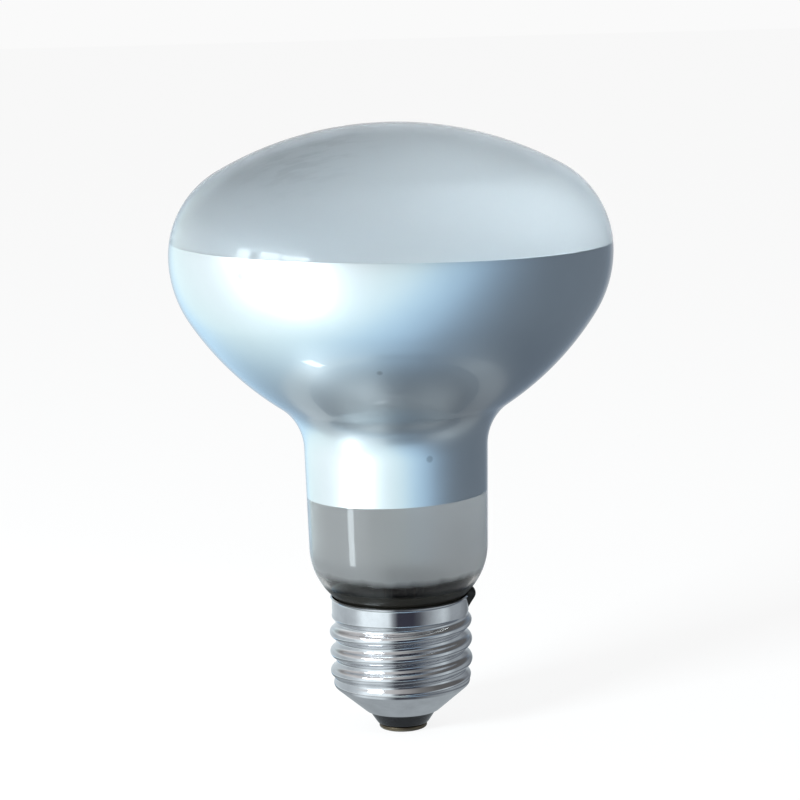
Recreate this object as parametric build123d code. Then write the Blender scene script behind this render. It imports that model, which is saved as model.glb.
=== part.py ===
from build123d import *
from math import acos, asin, atan2, cos, degrees, hypot, pi, radians, sin, sqrt
import os

# Reflector lamp with a frosted crown, a mirrored bowl and an Edison screw cap
# Millimetres, +Z up, cap down, origin at the lowest point of the centre contact.

# Glass bulb, outer surface, from the crown down to the cap
overall_length = 111.5
bulb_radius = 40.0
crown_radius = 63.8
crown_edge_radius = 17.4
upper_bowl_radius = 21.0
upper_bowl_turn = radians(32.4)
lower_bowl_radius = 54.6
throat_radius = 9.9
neck_radius = 16.7
neck_taper = radians(1.16)
neck_shoulder_radius = 12.2
tuck_radius = 3.0
glass_wall = 0.8

# Mirror film on the inner surface of the bowl and upper neck
film_thickness = 0.08
film_top_above_equator = 2.4
film_bottom_above_rim = 19.3

# Screw cap, an Edison E27 shell in sheet metal
cap_height = 25.1
thread_major_diameter = 26.1
thread_minor_diameter = 24.0
thread_pitch = 3.629
thread_crest_left = 18.5
thread_bottom = 9.0
thread_top = 22.2
thread_runout = 1.9
sections_per_pitch = 12
same_height = 0.001
cap_wall = 0.3
curl_radius = 1.2
curl_turn = radians(40)
cone_bend_radius = 1.0
cone_end_radius = 6.93
cone_end_height = 3.75

# Black glass insulator and the centre contact
insulator_top = 7.4
insulator_shoulder_radius = 6.1
insulator_shoulder_height = 3.35
insulator_overhang = 0.25
lead_hole_radius = 1.1
contact_radius = 4.4
contact_top = 1.15
contact_thickness = 1.0
contact_edge_radius = 0.8
contact_hole_radius = 0.8
solder_flat_radius = 1.3
solder_foot_radius = 2.2

# Cement, and the solder of the side lead on the rim
neck_gap = 0.4
cement_thread_clearance = 0.1
side_solder_radius = 1.45
side_solder_tip = 22.4

# Stem: flare, press, exhaust tube and button rod
seal_height = 19.5
flare_bend_radius = 5.0
flare_tube_radius = 4.5
press_bottom = 36.0
press_shoulder = 4.0
press_top = 48.0
press_width = 11.0
press_thickness = 3.8
press_corner_radius = 1.8
exhaust_radius = 1.6
exhaust_bore_radius = 0.9
exhaust_tip = 12.0
exhaust_vent_height = 43.0
rod_radius = 1.5
rod_top = 63.0
button_radius = 2.4
button_height = 3.0
button_round = 1.1

# Filament, its hooks and the lead-in wires
filament_height = 72.0
filament_ring_radius = 10.0
filament_coil_radius = 0.5
filament_gap = radians(70)
hook_count = 3
hook_wire_radius = 0.14
hook_eye_clearance = 0.1
hook_turn = radians(210)
hook_depth_in_button = 1.4
lead_spread = 2.75
inner_lead_radius = 0.3
seal_wire_radius = 0.2
outer_lead_radius = 0.18
outer_lead_bend_radius = 2.0
centre_lead_below_tip = 3.0
side_lead_turn_radius = 1.2
side_lead_below_flare = 2.5
side_lead_turn_rise = 0.8
side_lead_shift_bend_radius = 0.6
side_lead_shift_height = 1.0
side_lead_shift_start = 0.2
side_lead_rim_clearance = 0.07
side_lead_end_below_rim = 0.13
seal_wire_bottom = 41.0
seal_wire_top = 45.0
inner_lead_straight = 4.0
inner_lead_bend_radius = 3.0
clamp_length = 1.6
clamp_wall = 0.3
clamp_clearance = 0.08

# Cap radii
thread_mean_radius = (thread_major_diameter + thread_minor_diameter) / 4
thread_depth = (thread_major_diameter - thread_minor_diameter) / 2
cap_bore_radius = thread_mean_radius - cap_wall
skirt_top = cap_height - curl_radius * sin(curl_turn)
thread_bore_radius = thread_minor_diameter / 2 - cap_wall

# Headings of the glass outline, from 0 outwards at the crown to 90 degrees straight down
crown_heading = asin((bulb_radius - crown_edge_radius) / (crown_radius - crown_edge_radius))
bowl_heading = pi / 2 + upper_bowl_turn
neck_heading = pi / 2 + neck_taper
throat_sine = (
    neck_radius - bulb_radius + upper_bowl_radius * (1 - sin(bowl_heading))
    + lower_bowl_radius * sin(bowl_heading) + throat_radius * sin(neck_heading)
) / (lower_bowl_radius + throat_radius)
throat_heading = pi - asin(throat_sine)

# Heights of the widest ring and of the end of the throat
equator_height = (
    overall_length + crown_radius * (cos(crown_heading) - 1) - crown_edge_radius * cos(crown_heading)
)
neck_top = (
    equator_height + upper_bowl_radius * cos(bowl_heading)
    + lower_bowl_radius * (cos(throat_heading) - cos(bowl_heading))
    - throat_radius * (cos(neck_heading) - cos(throat_heading))
)

# The neck runs straight until its shoulder arc can turn into the mouth of the cap
mouth_radius = cap_bore_radius - neck_gap
mouth_offset = (neck_radius - mouth_radius) * sin(neck_heading) + (neck_top - cap_height) * cos(neck_heading)
mouth_along = (mouth_radius - neck_radius) * cos(neck_heading) + (neck_top - cap_height) * sin(neck_heading)
shoulder_turn = acos(1 - mouth_offset / neck_shoulder_radius)
neck_run = mouth_along - neck_shoulder_radius * sin(shoulder_turn)
tuck_turn = shoulder_turn + neck_taper
seal_radius = mouth_radius - tuck_radius * (1 - cos(tuck_turn))


def revolved(lines):
    """Turn a closed outline, drawn as radius and height, round the lamp's axis."""
    return revolve(Plane.XZ * make_face(lines), Axis.Z)


def glass_lines(inset):
    """Outline of the bulb at a depth below its outer surface, from the crown to the seal."""
    crown = JernArc((0, overall_length - inset), (1, 0), crown_radius - inset, -degrees(crown_heading))
    edge = JernArc(crown @ 1, crown % 1, crown_edge_radius - inset, -degrees(pi / 2 - crown_heading))
    upper = JernArc(edge @ 1, edge % 1, upper_bowl_radius - inset, -degrees(upper_bowl_turn))
    lower_turn = throat_heading - bowl_heading
    lower = JernArc(upper @ 1, upper % 1, lower_bowl_radius - inset, -degrees(lower_turn))
    throat_turn = throat_heading - neck_heading
    throat = JernArc(lower @ 1, lower % 1, throat_radius + inset, degrees(throat_turn))
    neck = Line(throat @ 1, throat @ 1 + (throat % 1) * neck_run)
    shoulder = JernArc(neck @ 1, neck % 1, neck_shoulder_radius - inset, -degrees(shoulder_turn))
    tuck = JernArc(shoulder @ 1, shoulder % 1, tuck_radius + inset, degrees(tuck_turn))
    skirt = Line(tuck @ 1, (seal_radius - inset, seal_height))
    return [crown, edge, upper, lower, throat, neck, shoulder, tuck, skirt]


def closed_outline(outer, inner):
    """Join two outlines that run the same way into one closed outline."""
    head = Line(inner[0] @ 0, outer[0] @ 0)
    foot = Line(outer[-1] @ 1, inner[-1] @ 1)
    return outer + inner + [head, foot]


def glass_envelope():
    """Blown bulb, one wall thick, open at the seal skirt inside the cap."""
    return revolved(closed_outline(glass_lines(0), glass_lines(glass_wall)))


def bulb_block():
    """The bulb as a full body, for cutting what fits round it."""
    outer = glass_lines(0)
    foot = Line(outer[-1] @ 1, (0, seal_height))
    axis = Line((0, seal_height), outer[0] @ 0)
    return revolved(outer + [foot, axis])


def mirror_coating():
    """Metal film on the inner surface of the bowl and of the upper neck."""
    strip = make_face(closed_outline(glass_lines(glass_wall), glass_lines(glass_wall + film_thickness)))
    bottom = cap_height + film_bottom_above_rim
    top = equator_height + film_top_above_equator
    band = Pos(bulb_radius / 2, (bottom + top) / 2) * Rectangle(bulb_radius, top - bottom)
    return revolve(Plane.XZ * (strip & band), Axis.Z)


def thread_centre(height):
    """Centre of the shell's round section, which circles the axis once in each pitch."""
    into = min(height - thread_bottom, thread_top - height, thread_runout) / thread_runout
    blend = into * into * (3 - 2 * into)
    angle = pi + 2 * pi * (height - thread_crest_left) / thread_pitch
    swing = blend * thread_depth / 2
    return Vector(swing * cos(angle), swing * sin(angle), height)


def thread_skin(radius):
    """One side of the rolled thread: level circles whose centres wind round the axis."""
    steps = round(sections_per_pitch * (thread_top - thread_bottom) / thread_pitch)
    rise = (thread_top - thread_bottom) / steps
    centres = [thread_centre(thread_bottom + rise * step) for step in range(steps + 1)]
    circles = [Wire([Edge.make_circle(radius, Plane(origin=centre))]) for centre in centres]
    return Solid.make_loft(circles).faces().filter_by(GeomType.PLANE, reverse=True)


def mouth_lines(inset):
    """Plain skirt above the thread, with its rim curled outwards."""
    skirt = Line((thread_mean_radius - inset, thread_top), (thread_mean_radius - inset, skirt_top))
    curl = JernArc(skirt @ 1, skirt % 1, curl_radius + inset, -degrees(curl_turn))
    return [skirt, curl]


def cone_lines(inset):
    """Bend under the thread and the cone that holds the insulator."""
    bend_centre = thread_mean_radius - cone_bend_radius
    across = bend_centre - cone_end_radius
    drop = thread_bottom - cone_end_height
    turn = atan2(across, drop) + asin(cone_bend_radius / hypot(across, drop))
    run = hypot(across, drop) * cos(asin(cone_bend_radius / hypot(across, drop)))
    start = (thread_mean_radius - inset, thread_bottom)
    bend = JernArc(start, (0, -1), cone_bend_radius - inset, -degrees(turn))
    cone = Line(bend @ 1, bend @ 1 + (bend % 1) * run)
    return [bend, cone]


def cap_shell():
    """Rolled shell: curled rim, plain skirt, thread and cone, one sheet throughout."""
    faces = thread_skin(thread_mean_radius) + thread_skin(cap_bore_radius)
    for lines, joint in ((mouth_lines, thread_top), (cone_lines, thread_bottom)):
        ring = revolved(closed_outline(lines(0), lines(cap_wall)))
        faces += [face for face in ring.faces() if not is_level_at(face, joint)]
    return Solid(Shell(faces))


def is_level_at(face, height):
    """Tell whether a face is flat, level and at this height."""
    return face.geom_type == GeomType.PLANE and abs(face.center().Z - height) < same_height


def insulator():
    """Black glass, cast into the cone round the hole of the centre lead."""
    bend, cone = cone_lines(cap_wall)
    foot = cone @ 1
    slope = cone % 1
    top = foot + slope * ((insulator_top - foot.Y) / slope.Y)
    corners = [
        (lead_hole_radius, insulator_top),
        (top.X, top.Y),
        (foot.X, foot.Y),
        (insulator_shoulder_radius, insulator_shoulder_height),
        (contact_radius + insulator_overhang, contact_top),
        (lead_hole_radius, contact_top),
    ]
    return revolved([Polyline(*corners, close=True)])


def contact_plate():
    """Brass plate under the insulator, rounded at its lower edge, pierced for the lead."""
    bottom = contact_top - contact_thickness
    disc = Pos(0, 0, (contact_top + bottom) / 2) * Cylinder(contact_radius, contact_thickness)
    disc = fillet(disc.edges().group_by(Axis.Z)[0], contact_edge_radius)
    return disc - Pos(0, 0, contact_top) * Cylinder(contact_hole_radius, 3 * contact_thickness)


def contact_solder():
    """Drop of solder that fills the plate's hole and stands a little below the plate."""
    foot = contact_top - contact_thickness
    wall = Line((contact_hole_radius, contact_top), (contact_hole_radius, foot))
    step = Line(wall @ 1, (solder_foot_radius, foot))
    bulge = TangentArc((solder_flat_radius, 0), (solder_foot_radius, foot), tangent=(1, 0))
    flat = Line(bulge @ 0, (0, 0))
    axis = Line((0, 0), (0, contact_top))
    top = Line((0, contact_top), wall @ 0)
    return revolved([wall, step, bulge, flat, axis, top])


def cement_block():
    """Everything inside the shell's bore, from the seal up to where the rim curls out."""
    thread_side = thread_bore_radius - cement_thread_clearance
    corners = [
        (0, seal_height),
        (thread_side, seal_height),
        (thread_side, thread_top),
        (cap_bore_radius, thread_top),
        (cap_bore_radius, skirt_top),
        (0, skirt_top),
    ]
    return revolved([Polyline(*corners, close=True)])


def cement_ring():
    """Capping cement between the glass and the shell."""
    return cement_block() - bulb_block()


def solder_run():
    """Round blob at the rim that tapers to a point down the outside of the skirt."""
    fall = cap_height - side_solder_tip
    lean = asin(side_solder_radius / fall)
    crest = Vector(0, cap_height + side_solder_radius)
    blob = JernArc(crest, (1, 0), side_solder_radius, -90 - degrees(lean))
    tip = Vector(0, side_solder_tip)
    return Pos(thread_mean_radius, 0, 0) * revolved([blob + Line(blob @ 1, tip) + Line(tip, crest)])


def side_solder():
    """Solder that holds the end of the side lead and runs over the rim."""
    drop = solder_run()
    mouth = revolved(closed_outline(mouth_lines(0), mouth_lines(cap_wall)))
    return drop - bulb_block() - cement_block() - mouth


def stem_flare():
    """Flared tube fused to the neck, closed above by the flat press that seals the wires."""
    tube_top = Line((flare_tube_radius, press_bottom), (flare_tube_radius, seal_height + flare_bend_radius))
    sweep_in = JernArc(tube_top @ 1, (0, -1), flare_bend_radius, 90)
    rim_top = Line(sweep_in @ 1, (seal_radius, seal_height))
    rim = Line(rim_top @ 1, (seal_radius, seal_height - glass_wall))
    rim_under = Line(rim @ 1, ((sweep_in @ 1).X, seal_height - glass_wall))
    bore = flare_tube_radius - glass_wall
    under = RadiusArc(
        rim_under @ 1, (bore, seal_height + flare_bend_radius), flare_bend_radius + glass_wall
    )
    inside = Line((bore, seal_height + flare_bend_radius), (bore, press_bottom))
    end = Line(inside @ 1, tube_top @ 0)
    tube = revolved([tube_top, sweep_in, rim_top, rim, rim_under, under, inside, end])
    return tube + press_block()


def press_block():
    """Glass pressed flat round the seal wires, with the vent of the exhaust tube."""
    section = RectangleRounded(press_width, press_thickness, press_corner_radius)
    base = Pos(0, 0, press_bottom) * Circle(flare_tube_radius)
    shoulder_top = press_bottom + press_shoulder
    shoulder = loft([base, Pos(0, 0, shoulder_top) * section])
    flat = extrude(Pos(0, 0, shoulder_top) * section, press_top - shoulder_top)
    rise = exhaust_vent_height - press_bottom
    vent = Pos(0, 0, press_bottom + rise / 2) * Cylinder(exhaust_bore_radius, rise)
    exit_hole = Pos(0, press_thickness / 2, exhaust_vent_height)
    exit_hole *= Rot(90, 0, 0) * Cylinder(exhaust_bore_radius, press_thickness)
    return shoulder + flat - vent - exit_hole


def exhaust_tube():
    """Thin tube below the press, melted shut at its lower tip."""
    outer_end = exhaust_tip + exhaust_radius
    outer = Line((exhaust_radius, press_bottom), (exhaust_radius, outer_end))
    tip = JernArc(outer @ 1, (0, -1), exhaust_radius, -90)
    axis = Line(tip @ 1, (0, outer_end - exhaust_bore_radius))
    inner_tip = RadiusArc(axis @ 1, (exhaust_bore_radius, outer_end), -exhaust_bore_radius)
    inner = Line((exhaust_bore_radius, outer_end), (exhaust_bore_radius, press_bottom))
    end = Line(inner @ 1, outer @ 0)
    return revolved([outer, tip, axis, inner_tip, inner, end])


def button_rod():
    """Glass rod on the press, with the button that the support hooks are set in."""
    rod = Pos(0, 0, (press_top + rod_top) / 2) * Cylinder(rod_radius, rod_top - press_top)
    button = Pos(0, 0, rod_top + button_height / 2) * Cylinder(button_radius, button_height)
    button = fillet(button.edges().filter_by(GeomType.CIRCLE), button_round)
    return rod + button


def wire(path, radius):
    """Round wire along a path."""
    return sweep(Plane(origin=path @ 0, z_dir=path % 0) * Circle(radius), path=path)


def filament_angle(share):
    """Angle on the filament's ring, from its right end at share 0 to its left end at 1."""
    return -pi / 2 + filament_gap / 2 + share * (2 * pi - filament_gap)


def ring_plane(angle):
    """Upright plane through the axis at this angle, with its x axis pointing outwards."""
    outwards = Vector(cos(angle), sin(angle), 0)
    return Plane(origin=(0, 0, 0), x_dir=outwards, z_dir=outwards.cross(Vector(0, 0, 1)))


def filament_coil():
    """Tungsten coil bent to an open ring, as the outer form of its turns."""
    section = ring_plane(filament_angle(0)) * Pos(filament_ring_radius, filament_height)
    return revolve(
        section * Circle(filament_coil_radius), Axis.Z, revolution_arc=degrees(2 * pi - filament_gap)
    )


def support_hook(share):
    """Molybdenum wire from the button, passing under the coil and hooked back over it."""
    plane = ring_plane(filament_angle(share))
    eye_radius = filament_coil_radius + hook_eye_clearance + hook_wire_radius
    root = Vector(button_radius - hook_depth_in_button, rod_top + button_height / 2)
    reach = Vector(filament_ring_radius, filament_height) - root
    heading = atan2(reach.Y, reach.X) - asin(eye_radius / reach.length)
    run = sqrt(reach.length ** 2 - eye_radius ** 2)
    arm = Line(root, root + Vector(cos(heading), sin(heading)) * run)
    hook = JernArc(arm @ 1, arm % 1, eye_radius, degrees(hook_turn))
    return wire(plane * (arm + hook), hook_wire_radius)


def inner_lead(side):
    """Nickel wire from the seal wire to a clamp on the end of the coil."""
    angle = filament_angle((1 - side) / 2)
    clamp_radius = filament_coil_radius + clamp_clearance
    target = Vector(filament_ring_radius * cos(angle), filament_ring_radius * sin(angle), 0)
    start = Vector(side * lead_spread, 0, 0)
    across = (target - start).length
    plane = Plane(origin=start, x_dir=target - start, z_dir=(target - start).cross(Vector(0, 0, 1)))
    points = [
        (0, seal_wire_top),
        (0, press_top + inner_lead_straight),
        (across, filament_height - clamp_radius - 2 * inner_lead_bend_radius),
        (across, filament_height - clamp_radius - clamp_wall / 2),
    ]
    post = wire(plane * FilletPolyline(*points, radius=inner_lead_bend_radius), inner_lead_radius)
    clamp_plane = ring_plane(angle) * Pos(filament_ring_radius, filament_height)
    inside = clamp_plane * extrude(Circle(clamp_radius), clamp_length / 2, both=True)
    clamp = clamp_plane * extrude(Circle(clamp_radius + clamp_wall), clamp_length / 2, both=True)
    return post + clamp - inside


def seal_wire(side):
    """Copper-clad wire, sealed gas-tight inside the press."""
    middle = Pos(side * lead_spread, 0, (seal_wire_bottom + seal_wire_top) / 2)
    return middle * Cylinder(seal_wire_radius, seal_wire_top - seal_wire_bottom)


def outer_lead_centre():
    """Copper wire from the press, past the exhaust tip, down into the centre contact."""
    points = [
        (-lead_spread, seal_wire_bottom),
        (-lead_spread, exhaust_tip + exhaust_radius),
        (0, exhaust_tip - centre_lead_below_tip),
        (0, contact_top - contact_thickness / 2),
    ]
    return wire(Plane.XZ * FilletPolyline(*points, radius=outer_lead_bend_radius), outer_lead_radius)


def outer_lead_side():
    """Copper wire that turns under the flare and climbs beside the glass to the rim."""
    climb = (seal_radius + thread_bore_radius) / 2
    mouth = cap_bore_radius - outer_lead_radius - side_lead_rim_clearance
    under = seal_height - glass_wall - side_lead_below_flare
    shift = thread_top + side_lead_shift_start
    points = [
        (lead_spread, seal_wire_bottom),
        (lead_spread, seal_height),
        ((lead_spread + climb) / 2, under),
        (climb, under + side_lead_turn_rise),
        (climb, shift),
        (mouth, shift + side_lead_shift_height),
        (mouth, cap_height - side_lead_end_below_rim),
    ]
    radii = 2 * [outer_lead_bend_radius] + [side_lead_turn_radius] + 2 * [side_lead_shift_bend_radius]
    return wire(Plane.XZ * FilletPolyline(*points, radius=radii), outer_lead_radius)


def build():
    """Make every piece and cut the pockets that the wires leave in glass, solder and cement."""
    leads = {
        "inner_lead_centre": inner_lead(-1),
        "inner_lead_side": inner_lead(1),
        "seal_wire_centre": seal_wire(-1),
        "seal_wire_side": seal_wire(1),
        "outer_lead_centre": outer_lead_centre(),
        "outer_lead_side": outer_lead_side(),
    }
    hooks = {
        f"support_hook_{number + 1}": support_hook((number + 1) / (hook_count + 1))
        for number in range(hook_count)
    }
    pieces = {
        "glass_envelope": glass_envelope(),
        "mirror_coating": mirror_coating(),
        "stem_flare": stem_flare() - list(leads.values()),
        "exhaust_tube": exhaust_tube(),
        "button_rod": button_rod() - list(hooks.values()),
        "filament_coil": filament_coil(),
        "cap_shell": cap_shell(),
        "cap_cement": cement_ring() - leads["outer_lead_side"],
        "contact_insulator": insulator(),
        "contact_plate": contact_plate(),
        "contact_solder": contact_solder() - leads["outer_lead_centre"],
        "side_solder": side_solder() - leads["outer_lead_side"],
    }
    return pieces | hooks | leads


def write(pieces):
    """Save each piece as a STEP file under its own name."""
    os.makedirs("parts", exist_ok=True)
    for name, solid in pieces.items():
        export_step(solid, f"parts/{name}.step")


write(build())
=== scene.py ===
from math import acos, asin, atan2, cos, hypot, pi, radians, sin

import bpy
import numpy as np
from bpy.props import FloatProperty, FloatVectorProperty, IntProperty, PointerProperty
from bpy.types import Operator, Panel, PropertyGroup
from mathutils import Matrix, Vector


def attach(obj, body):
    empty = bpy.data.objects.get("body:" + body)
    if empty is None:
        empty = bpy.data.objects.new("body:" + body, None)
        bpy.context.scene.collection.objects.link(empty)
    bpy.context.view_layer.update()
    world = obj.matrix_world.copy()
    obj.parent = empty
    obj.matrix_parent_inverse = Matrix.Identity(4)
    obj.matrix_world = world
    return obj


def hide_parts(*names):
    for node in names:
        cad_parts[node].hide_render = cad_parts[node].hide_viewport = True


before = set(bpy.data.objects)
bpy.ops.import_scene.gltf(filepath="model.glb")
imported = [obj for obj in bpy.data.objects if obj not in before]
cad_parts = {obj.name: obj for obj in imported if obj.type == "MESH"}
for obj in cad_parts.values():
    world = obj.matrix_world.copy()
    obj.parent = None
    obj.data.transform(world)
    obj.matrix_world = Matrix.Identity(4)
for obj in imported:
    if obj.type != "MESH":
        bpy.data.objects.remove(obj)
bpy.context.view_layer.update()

bl_info = {
    "name": "Reflector heat lamp",
    "version": (1, 0, 0),
    "blender": (4, 5, 0),
    "location": "3D View > Sidebar > Heat lamp",
    "description": "Dresses a reflector lamp with its glass, mirror film, screw cap and filament",
    "category": "Add Mesh",
}

MM = 0.001


def size(description, millimetres):
    """A length that the sidebar shows, given here in millimetres."""
    return FloatProperty(description=description, default=millimetres * MM, unit="LENGTH", precision=5)


def turn(description, angle):
    """An angle that the sidebar shows, given here in degrees."""
    return FloatProperty(description=description, default=radians(angle), subtype="ANGLE")


def count(description, number):
    """A whole number that the sidebar shows."""
    return IntProperty(description=description, default=number, min=3)


def share(description, number):
    """A share from 0 to 1 that the sidebar shows."""
    return FloatProperty(description=description, default=number, min=0, max=1, subtype="FACTOR")


def amount(description, number):
    """A number from 0 up that the sidebar shows."""
    return FloatProperty(description=description, default=number, min=0)


def tint(description, *rgb):
    """A colour that the sidebar shows, in linear red, green and blue."""
    return FloatVectorProperty(description=description, default=rgb, size=3, min=0, max=1, subtype="COLOR")


def named(group):
    """Give every property of a group its name: the words of its key, with a capital."""
    for key, prop in group.__annotations__.items():
        prop.keywords["name"] = key.replace("_", " ").capitalize()
    return group


@named
class BulbSizes(PropertyGroup):
    """Sizes of the glass bulb, its mirror film and its frosting."""

    overall_length: size("From the centre contact to the top of the crown", 111.5)
    bulb_radius: size("Greatest radius of the bulb", 40.0)
    crown_radius: size("Radius of the arc over the crown", 63.8)
    crown_edge_radius: size("Radius of the arc from the crown to the widest ring", 17.4)
    upper_bowl_radius: size("Radius of the arc below the widest ring", 21.0)
    upper_bowl_turn: turn("Angle of the arc below the widest ring", 32.4)
    lower_bowl_radius: size("Radius of the long arc down to the throat", 54.6)
    throat_radius: size("Radius of the hollow arc between bowl and neck", 9.9)
    neck_radius: size("Radius of the neck under the throat", 16.7)
    neck_taper: turn("Slope of the neck towards the cap", 1.16)
    neck_shoulder_radius: size("Radius of the arc from the neck into the cap", 12.2)
    tuck_radius: size("Radius of the hollow arc inside the cap's mouth", 3.0)
    wall: size("Thickness of the glass", 0.8)
    seal_height: size("Height at which the glass ends inside the cap", 19.5)
    neck_gap: size("Gap between the glass and the cap's mouth", 0.4)
    film_top: size("Height of the mirror's upper edge on the axis", 90.55)
    film_bottom: size("Height of the mirror's lower edge on the axis", 44.4)
    film_top_slope: turn("Tilt of the mirror's upper edge, down towards +X", 1.2)
    film_bottom_slope: turn("Tilt of the mirror's lower edge, up towards +X", 1.1)
    frost_end: size("Height at which the inside frosting fades out", 29.6)
    cement_end: size("Height up to which the cement has crept up the neck", 28.0)
    segments: count("Steps round the lamp's axis", 224)


@named
class CapSizes(PropertyGroup):
    """Sizes of the rolled screw cap and of the contact under it."""

    height: size("Height of the rim above the centre contact", 25.1)
    thread_mean_radius: size("Radius halfway between crest and root", 12.525)
    thread_pitch: size("Rise of the thread in one turn", 3.629)
    thread_arc_radius: size("Radius of the round crests and roots", 1.025)
    thread_crest_left: size("Height of a crest on the -X side", 18.5)
    thread_bottom: size("Where the thread runs out below", 9.0)
    thread_top: size("Where the thread runs out above", 22.2)
    thread_runout: size("Length over which the thread fades at each end", 1.9)
    wall: size("Thickness of the sheet", 0.3)
    curl_radius: size("Radius of the rim's outward curl", 1.2)
    curl_turn: turn("Angle of the rim's outward curl", 40)
    cone_bend_radius: size("Radius of the bend under the thread", 1.0)
    cone_end_radius: size("Radius at the cone's lower edge", 6.93)
    cone_end_height: size("Height of the cone's lower edge", 3.75)
    insulator_shoulder_radius: size("Radius of the black glass below the cone", 6.1)
    insulator_shoulder_height: size("Height of that shoulder", 3.35)
    insulator_overhang: size("How far the black glass stands out over the contact", 0.25)
    lead_hole_radius: size("Radius of the hole for the centre lead", 1.1)
    contact_radius: size("Radius of the contact plate", 4.4)
    contact_top: size("Height of the plate's upper face", 1.15)
    contact_thickness: size("Thickness of the plate", 1.0)
    contact_edge_radius: size("Rounding of the plate's lower edge", 0.8)
    solder_flat_radius: size("Radius of the solder's flat foot", 1.3)
    solder_foot_radius: size("Radius of the solder on the plate", 2.2)
    side_solder_radius: size("Radius of the solder on the rim", 1.45)
    side_solder_tip: size("Height at which the solder's run ends", 22.4)
    segments: count("Steps round the cap", 180)


@named
class FilamentSizes(PropertyGroup):
    """Sizes of the coiled filament."""

    height: size("Height of the filament's ring", 72.0)
    ring_radius: size("Radius of the filament's open ring", 10.0)
    coil_radius: size("Outer radius of the coil", 0.5)
    wire_radius: size("Radius of the coiled wire", 0.07)
    gap: turn("Opening of the ring between the lead wires", 70)
    turns: count("Turns of the coil", 110)


@named
class Finishes(PropertyGroup):
    """Colours and gloss of the lamp's materials."""

    frost: tint("Inside-frosted glass", 0.82, 0.85, 0.87)
    frost_roughness: share("How much the frosting blurs", 0.42)
    frost_spread: tint("Light spread by the etched side", 0.93, 0.96, 0.98)
    spread_share: share("How much of the light the etched side spreads evenly", 0.5)
    # Painted shade: the neck's frosting is dark grey, where the crown's frosting of the same glass is near
    # white, for the dark inside of the neck.
    neck_frost_painted_shade: tint("Frosted glass of the neck", 0.35, 0.355, 0.36)
    # Painted shade: the clear glass near the cap is greyed, darkening what is seen through it.
    neck_clear_painted_shade: tint("Glass under the frosting, greyed by the cement round it", 0.42, 0.42, 0.41)
    crown_passed: share("How much of the light the crown's frosting passes", 0.94)
    neck_passed: share("How much of the light the neck's frosting passes", 0.76)
    silver: tint("Mirror film seen through the frosted glass", 0.66, 0.71, 0.74)
    silver_roughness: share("Blur of the mirror under the frosting", 0.38)
    nickel: tint("Bright plating of the cap", 0.77, 0.77, 0.79)
    nickel_roughness: share("Blur of the cap's plating", 0.10)
    black_glass: tint("Insulator under the cap", 0.006, 0.006, 0.007)
    brass: tint("Contact plate, tarnished", 0.20, 0.16, 0.11)
    solder: tint("Tin solder, dulled by heat", 0.06, 0.058, 0.055)
    cement: tint("Capping cement", 0.012, 0.011, 0.009)
    stem_glass: tint("Clear glass of the stem", 0.93, 0.96, 0.95)
    copper: tint("Outer lead wires, dark with oxide", 0.10, 0.04, 0.025)
    wire_nickel: tint("Inner lead wires", 0.42, 0.41, 0.38)
    tungsten: tint("Filament and its hooks", 0.10, 0.10, 0.11)


@named
class StageSizes(PropertyGroup):
    """Camera, lights, floor and cards of the studio."""

    camera_distance: size("From the lamp's axis to the camera", 505.85)
    camera_height: size("Height of the camera over the floor", 142.23)
    camera_side: size("How far the camera stands to the right", 0.95)
    aim_height: size("Height at which the view's centre meets the axis", 61.2)
    roll: turn("Tilt of the camera", -1.5)
    lens: FloatProperty(description="Focal length in millimetres", default=127.0, min=10)
    background: tint("What the camera sees behind the lamp", 0.956, 0.956, 0.956)
    fill: share("Strength of the room's light on matt surfaces", 0.55)
    window_power: amount("Watts of the window light", 10.0)
    side_power: amount("Watts of the light on the crown's right", 0.6)
    window_tint: tint("Colour of the lights and of the bright cards", 0.86, 0.96, 1.0)
    window_way: FloatVectorProperty(description="Direction of the window", default=(-0.93, -0.37, 0.47))
    room_light: amount("Strength of the reflected room", 1.4)
    dark_card: tint("Collar and mat where they are dark", 0.035, 0.036, 0.05)
    collar_radius: size("Radius of the collar that the cap reflects", 45.0)
    collar_height: size("Height of that collar", 29.0)
    collar_light: amount("Radiance of the collar where it is brightest", 1.25)
    cone_light: share("Level of the mat near the cap's foot", 0.42)
    pane_light: amount("Radiance of the window panes", 8.0)
    floor_white: share("How much of its white the floor shows whatever lights it", 0.86)


def joined(operation, swapped=False):
    """Method that joins a reading with a number or another reading in one Math node."""
    def method(self, other):
        pair = (other, self) if swapped else (self, other)
        return self.combine(operation, *pair)
    return method


class Reading:
    """A shader socket in a sum. Each operator adds one Math node."""

    def __init__(self, recipe, socket):
        self.recipe = recipe
        self.socket = socket

    def combine(self, operation, first, second):
        node = self.recipe.node("ShaderNodeMath", {"operation": operation}, {0: first, 1: second})
        return Reading(self.recipe, node.outputs[0])

    __add__, __radd__ = joined("ADD"), joined("ADD", True)
    __sub__, __rsub__ = joined("SUBTRACT"), joined("SUBTRACT", True)
    __mul__, __rmul__ = joined("MULTIPLY"), joined("MULTIPLY", True)
    __truediv__, __pow__ = joined("DIVIDE"), joined("POWER")
    at_least, at_most = joined("MAXIMUM"), joined("MINIMUM")

    def rising(self, start, width):
        """0 up to the start, then up to 1 over the width. A negative width makes it fall instead."""
        return ((self - start) / width).at_least(0.0).at_most(1.0)


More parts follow.
